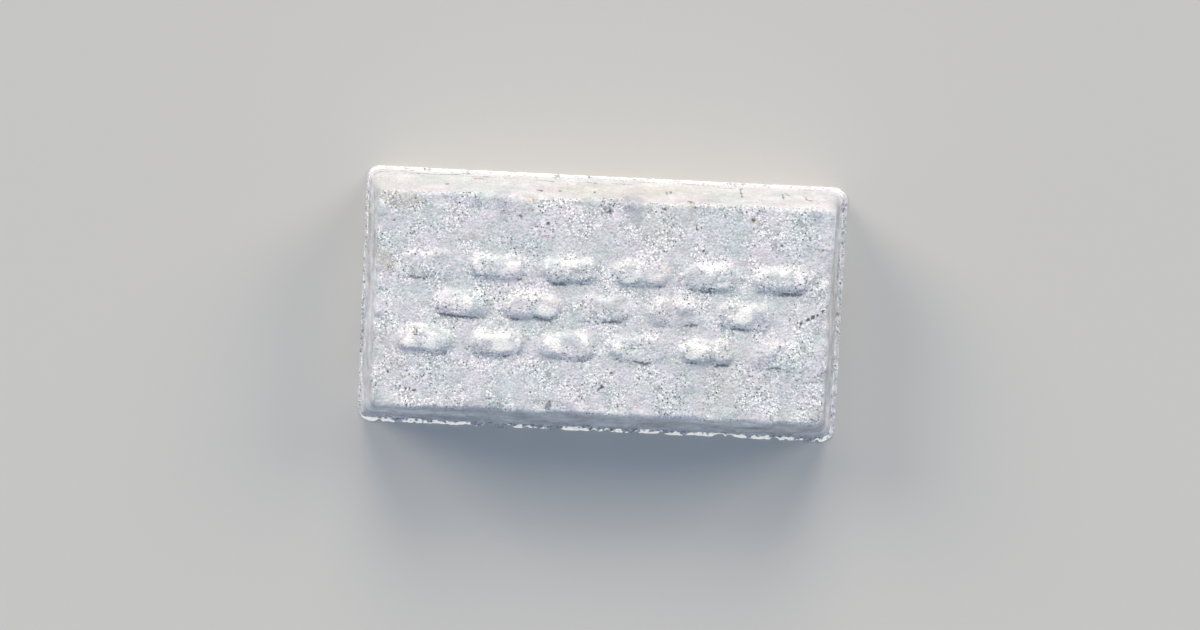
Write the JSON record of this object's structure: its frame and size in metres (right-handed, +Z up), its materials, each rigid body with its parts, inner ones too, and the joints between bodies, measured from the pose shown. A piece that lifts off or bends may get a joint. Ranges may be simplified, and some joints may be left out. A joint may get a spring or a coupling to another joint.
{
  "type": "metal ingot",
  "caption": "Cast silver bar with drafted sides, a rounded shoulder, a thin flash rim round its foot and rows of raised bars on its face; raw stock for melting or storage.",
  "frame": {"origin": "middle of the base, on the surface that the bar lies on", "axes": "+X along the bar's length, +Y across its width, +Z up out of the moulded face"},
  "size_m": [0.1, 0.0534, 0.0227],
  "materials": {
    "cast_silver": "matte"
  },
  "bodies": {
    "root": {"ingot": "cast_silver"}
  },
  "joints": []
}
